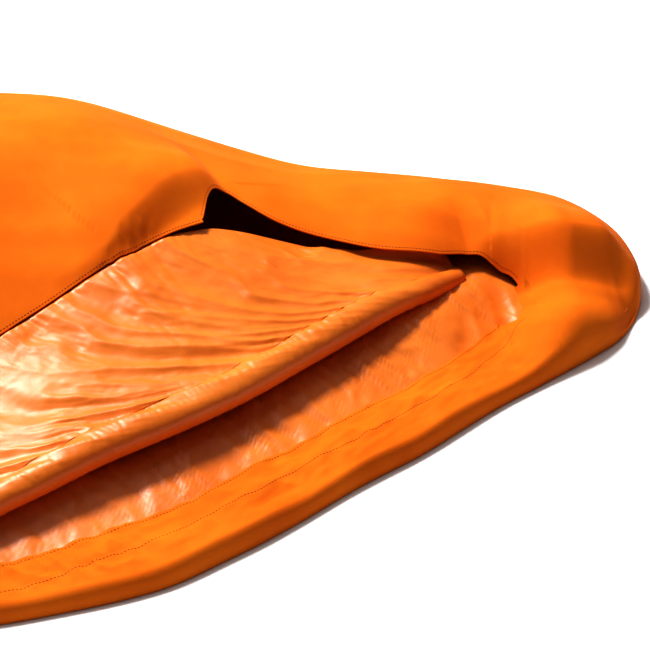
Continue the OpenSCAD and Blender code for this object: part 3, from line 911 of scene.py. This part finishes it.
def make_foot():
    ys = -np.cos(np.linspace(0, np.pi, 61)) * float(half_width(FOOT_X + 0.003))
    x0 = np.full_like(ys, FOOT_X + 0.002)
    top = shell_height(x0, ys)
    t = np.linspace(0, 1, 31)[None, :]
    z = top[:, None] * t
    q = ys / np.abs(ys).max()
    bulge = 0.010 * (1 - q**4)[:, None] * np.sin(np.pi * t) ** 0.7
    dents = 0.0015 * cloud(ys[:, None] / 0.09, z / 0.05, 3, 51) * np.sin(np.pi * t)
    grid = np.stack([FOOT_X + 0.002 - bulge - dents, np.repeat(ys[:, None], t.shape[1], 1), z], -1)
    normals = -grid_normals(grid)
    if normals[30, 15, 0] > 0:
        normals = -normals
    piece = closed_sheet("foot_panel_cloth", organic(grid), normals, SHELL_CLOTH, SHELL)
    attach(piece, "bag")
    return piece


# ---------------------------------------------------------------- gussets
# Narrow strips of lining below the hood's seams: their cloth at rest is much less than the gap at the hood's
# limit.
def pleat(edge, inward, up, width, drop, columns=13):
    """Strip along a line: from one side of it to the other, hanging between them in a fold."""
    t = np.linspace(-0.5, 0.5, columns)
    hang = drop * (1 - (2 * t) ** 2)
    return edge[:, None] + (t * width)[None, :, None] * inward[:, None] - hang[None, :, None] * up[:, None]


def gusset(name, grid):
    piece = closed_sheet(name, grid, grid_normals(grid), LINING_CLOTH, LINING)
    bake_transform(piece)


def make_gussets():
    # across the bag, below the seam between the top shell and the hood
    far = float(half_width(HOOD_SEAM_X) - plane_inset(np.array([HOOD_SEAM_X]), 1)[0])
    y = np.linspace(0.036, far - 0.003, 90)
    edge, up = shell_frame(np.full_like(y, HOOD_SEAM_X), y)
    along_x = np.tile([1.0, 0, 0], (len(y), 1))
    grid = pleat(edge - GUSSET_DEPTH * up, along_x, up, 0.012, 0.010)
    gusset("hood_top_gusset", grid)
    # along the far side, round the crown and back to the opening's near corner
    xs = crowded_end(HOOD_SEAM_X + 0.002, CROWN_X - 0.0015, 90)
    back = xs[::-1][xs[::-1] > BAND_SEAM_X]
    far_y = half_width(xs) - plane_inset(xs, 1)
    near_y = -half_width(back) + plane_inset(back, -1)
    x, y = np.concatenate([xs, back]), np.concatenate([far_y, near_y])
    nx, ny = plan_inward(x, y, 1)
    inward = np.stack([nx, ny, np.zeros_like(x)], 1)
    if np.sum(inward[:20, 1]) > 0:
        inward = -inward
    plane = HINGE_HEIGHT + (CROWN_X - x) * HINGE_SLOPE
    tilt = np.array([HINGE_SLOPE, 0, 1]) / math.hypot(HINGE_SLOPE, 1)
    edge = organic(np.stack([x, y, plane], 1)) - 0.0035 * tilt
    grid = pleat(edge, np.tile(tilt, (len(x), 1)), -inward, 0.009, 0.003) + 0.0085 * inward[:, None]
    grid[..., 2] = np.maximum(grid[..., 2], 0.0035)
    gusset("hood_side_gusset", grid)
    # below the seam between the near band and the hood
    y = np.linspace(-0.078, -0.160, 50)
    xs = np.linspace(CORNER_X, BAND_SEAM_X, 400)
    x = np.interp(-y, -curve(HOOD_FRONT, xs), xs)
    edge, up = shell_frame(x, y)
    seam_run = np.array([0.131, 0.013, 0])
    square = seam_run / np.linalg.norm(seam_run)
    grid = pleat(edge - GUSSET_DEPTH * up, np.tile(square, (len(y), 1)), up, 0.016, 0.008)
    gusset("hood_corner_gusset", grid)


# ---------------------------------------------------------------- camera, floor and lights
def make_camera():
    azimuth, elevation, distance = math.radians(-14), math.radians(37), 2.6
    target = Vector((0.66, -0.08, 0.05))
    level = math.cos(elevation)
    back = Vector((math.sin(azimuth) * level, -math.cos(azimuth) * level, math.sin(elevation)))
    data = bpy.data.cameras.new("camera")
    data.lens = 120
    data.sensor_width = 36
    camera = bpy.data.objects.new("camera", data)
    camera.location = target + back * distance
    camera.rotation_euler = (-back).to_track_quat("-Z", "Y").to_euler()
    bpy.context.scene.collection.objects.link(camera)
    bpy.context.scene.camera = camera


def area_light(name, place, target, size, power):
    data = bpy.data.lights.new(name, "AREA")
    data.shape = "DISK"
    data.size = size
    data.energy = power
    light = bpy.data.objects.new(name, data)
    light.location = place
    light.rotation_euler = (Vector(target) - Vector(place)).to_track_quat("-Z", "Y").to_euler()
    bpy.context.scene.collection.objects.link(light)


def make_stage():
    material, nodes, links, shader = new_material("floor")
    shader.inputs["Base Color"].default_value = (0.93, 0.93, 0.92, 1)
    shader.inputs["Roughness"].default_value = 0.9
    size = 12.0
    verts = np.array([(-size, -size, 0), (size, -size, 0), (size, size, 0), (-size, size, 0)], float)
    verts[:, 2] = -0.0005
    floor = mesh_object("floor", verts, [[0, 1, 2, 3]], material)
    world = bpy.data.worlds.new("studio")
    bpy.context.scene.world = world
    world.use_nodes = True
    sky = world.node_tree
    place = sky.nodes.new("ShaderNodeTexCoord")
    toward = add(sky.nodes, "ShaderNodeVectorMath", operation="DOT_PRODUCT")
    toward.inputs[1].default_value = (-0.15, 0.60, 0.78)
    level = add(sky.nodes, "ShaderNodeMapRange")
    level.inputs["From Min"].default_value = -0.25
    level.inputs["To Min"].default_value = 0.02
    level.inputs["To Max"].default_value = 0.32
    sky.links.new(place.outputs["Generated"], toward.inputs[0])
    sky.links.new(toward.outputs["Value"], level.inputs["Value"])
    sky.links.new(level.outputs["Result"], sky.nodes["Background"].inputs["Strength"])
    sky.nodes["Background"].inputs["Color"].default_value = (1, 1, 1, 1)
    area_light("key", (-0.55, 1.7, 3.8), (0.6, 0, 0), 0.8, 245)
    area_light("top", (0.2, 0.9, 3.2), (0.4, 0, 0), 2.0, 18)
    bpy.context.scene.view_settings.view_transform = "Standard"
    bpy.context.scene.view_settings.look = "Medium High Contrast"
    bpy.context.scene.view_settings.gamma = 0.85


make_camera()
UPPER_PIECES = make_upper()
BAND_PIECES = make_band()
make_hems()
FLAP = make_flap()
BASE = make_base()
LOWER = make_lower_lining()
TAPE_STRIP = make_tape()
FOOT = make_foot()
make_gussets()
make_stage()

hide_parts("top_shell")
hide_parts("top_lining")
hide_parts("hood_shell")
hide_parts("hood_lining")
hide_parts("crown_band")
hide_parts("near_side_shell")
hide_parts("flap_face", "flap_wadding", "flap_backing", "flap_edge_roll", "flap_stitching",
            "flap_head_end", "flap_head_roll", "flap_binding")
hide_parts("base_panel")
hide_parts("base_lining")
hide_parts("perimeter_seam_tape")
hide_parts("foot_panel")
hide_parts("far_hem")
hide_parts("hood_hem")
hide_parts("near_facing")
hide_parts("far_hem_stitching")
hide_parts("hood_hem_stitching")
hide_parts("inner_hem_stitching")
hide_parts("outer_hem_stitching")
